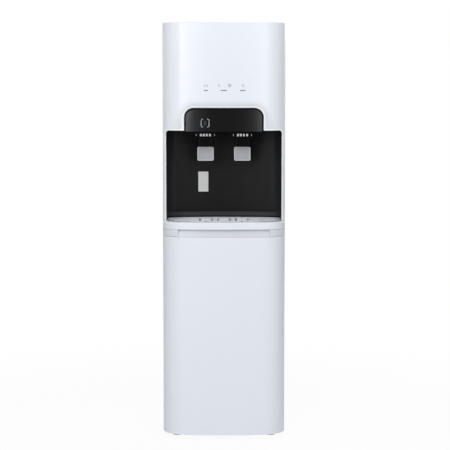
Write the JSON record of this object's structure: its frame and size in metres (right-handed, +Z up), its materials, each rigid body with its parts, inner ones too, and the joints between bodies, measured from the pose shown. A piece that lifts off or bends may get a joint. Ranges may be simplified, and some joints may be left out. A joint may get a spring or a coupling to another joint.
{
  "type": "point-of-use water cooler",
  "caption": "Tall free-standing water cooler with a bowed front, a recessed bay with lever taps, a slide-out drip tray and a rear wire condenser.",
  "frame": {"origin": "on the floor under the middle of the cooler's overall box", "axes": "+Z up, -Y towards the user in front, +X to the right as seen from the front"},
  "size_m": [0.304, 0.33, 1.03],
  "materials": {
    "white_plastic": "white gloss moulding",
    "white_steel": "white painted steel sheet",
    "bay_black": "black satin moulding",
    "hood_black": "black gloss moulding",
    "tap_black": "black moulding",
    "pad_grey": "grey satin moulding",
    "grille_grey": "silver grey moulding",
    "galvanised": "zinc coated sheet",
    "stainless": "stainless steel",
    "black_rubber": "black rubber",
    "black_coat": "black painted steel",
    "copper": "copper tube",
    "foam": "white foam",
    "blue_plastic": "blue rocker",
    "red_plastic": "red rocker",
    "board_green": "circuit board",
    "clear_tube": "milky water tube",
    "zinc": "zinc plated screw",
    "lens": "milky light pipe",
    "brown_plastic": "brown thermostat case"
  },
  "bodies": {
    "cabinet": {"base_pan": "galvanised", "feet": "black_rubber", "side_panel_left": "white_steel", "side_panel_right": "white_steel", "rear_panel": "galvanised", "rear_panel_screws": "zinc", "top_cover": "white_plastic", "front_frame": "white_plastic", "lower_front_panel": "white_plastic", "bay_liner": "bay_black", "tap_hood": "hood_black", "child_lock_switch": "board_green", "indicator_lenses": "lens", "indicator_board": "board_green", "hot_tap_body": "tap_black", "cold_tap_body": "tap_black", "hot_lever_pin": "stainless", "cold_lever_pin": "stainless", "tap_switches": "tap_black", "dispensing_valves": "foam", "condenser": "black_coat", "condenser_brackets": "galvanised", "switch_housings": "tap_black", "inlet_fitting": "foam", "inlet_valve": "foam", "drain_spout": "foam", "cord_gland": "black_rubber", "tank_shelf": "galvanised", "cold_tank": "stainless", "cold_tank_lid": "foam", "cold_tank_insulation": "foam", "evaporator_jacket": "copper", "hot_tank": "stainless", "hot_tank_bracket": "galvanised", "band_heater": "stainless", "thermostats": "brown_plastic", "compressor": "black_coat", "compressor_grommets": "black_rubber", "compressor_bolts": "zinc", "start_relay_box": "tap_black", "filter_drier": "copper", "refrigerant_lines": "copper", "sediment_filter": "foam", "carbon_filter": "foam", "membrane_filter": "foam", "polishing_filter": "foam", "filter_bracket": "galvanised", "water_tubes": "clear_tube", "control_board": "board_green"},
    "hot_lever_arm": {"hot_lever": "tap_black", "hot_lever_pad": "pad_grey"},
    "cold_lever_arm": {"cold_lever": "tap_black", "cold_lever_pad": "pad_grey"},
    "tray": {"drip_tray": "white_plastic"},
    "grille": {"drip_grille": "grille_grey"},
    "lock_key": {"child_lock_key": "hood_black"},
    "hot_rocker": {"hot_power_rocker": "red_plastic"},
    "cold_rocker": {"cold_power_rocker": "blue_plastic"},
    "cap": {"drain_cap": "black_rubber"}
  },
  "joints": [
    {"name": "hot_lever_hinge", "type": "hinge", "parent": "cabinet", "child": "hot_lever_arm", "pos_m": [-0.046, -0.07, 0.747], "axis": [1, 0, 0], "range_deg": [0, 12], "stiffness_Nm_per_rad": 0.5, "springref_deg": -8.59},
    {"name": "cold_lever_hinge", "type": "hinge", "parent": "cabinet", "child": "cold_lever_arm", "pos_m": [0.046, -0.07, 0.747], "axis": [1, 0, 0], "range_deg": [0, 12], "stiffness_Nm_per_rad": 0.5, "springref_deg": -8.59},
    {"name": "tray_slide", "type": "slide", "parent": "cabinet", "child": "tray", "axis": [0, -1, 0], "range_m": [0, 0.12]},
    {"name": "grille_lift", "type": "slide", "parent": "tray", "child": "grille", "axis": [0, 0, 1], "range_m": [0, 0.03]},
    {"name": "key_press", "type": "slide", "parent": "cabinet", "child": "lock_key", "axis": [0, 1, 0], "range_m": [0, 0.0015], "stiffness_N_per_m": 700, "springref_m": -0.001},
    {"name": "hot_rocker_hinge", "type": "hinge", "parent": "cabinet", "child": "hot_rocker", "pos_m": [0.109, 0.134, 0.905], "axis": [1, 0, 0], "range_deg": [0, 18]},
    {"name": "cold_rocker_hinge", "type": "hinge", "parent": "cabinet", "child": "cold_rocker", "pos_m": [0.081, 0.134, 0.905], "axis": [1, 0, 0], "range_deg": [0, 18]},
    {"name": "cap_pull", "type": "slide", "parent": "cabinet", "child": "cap", "axis": [0, 1, 0], "range_m": [0, 0.014]}
  ]
}
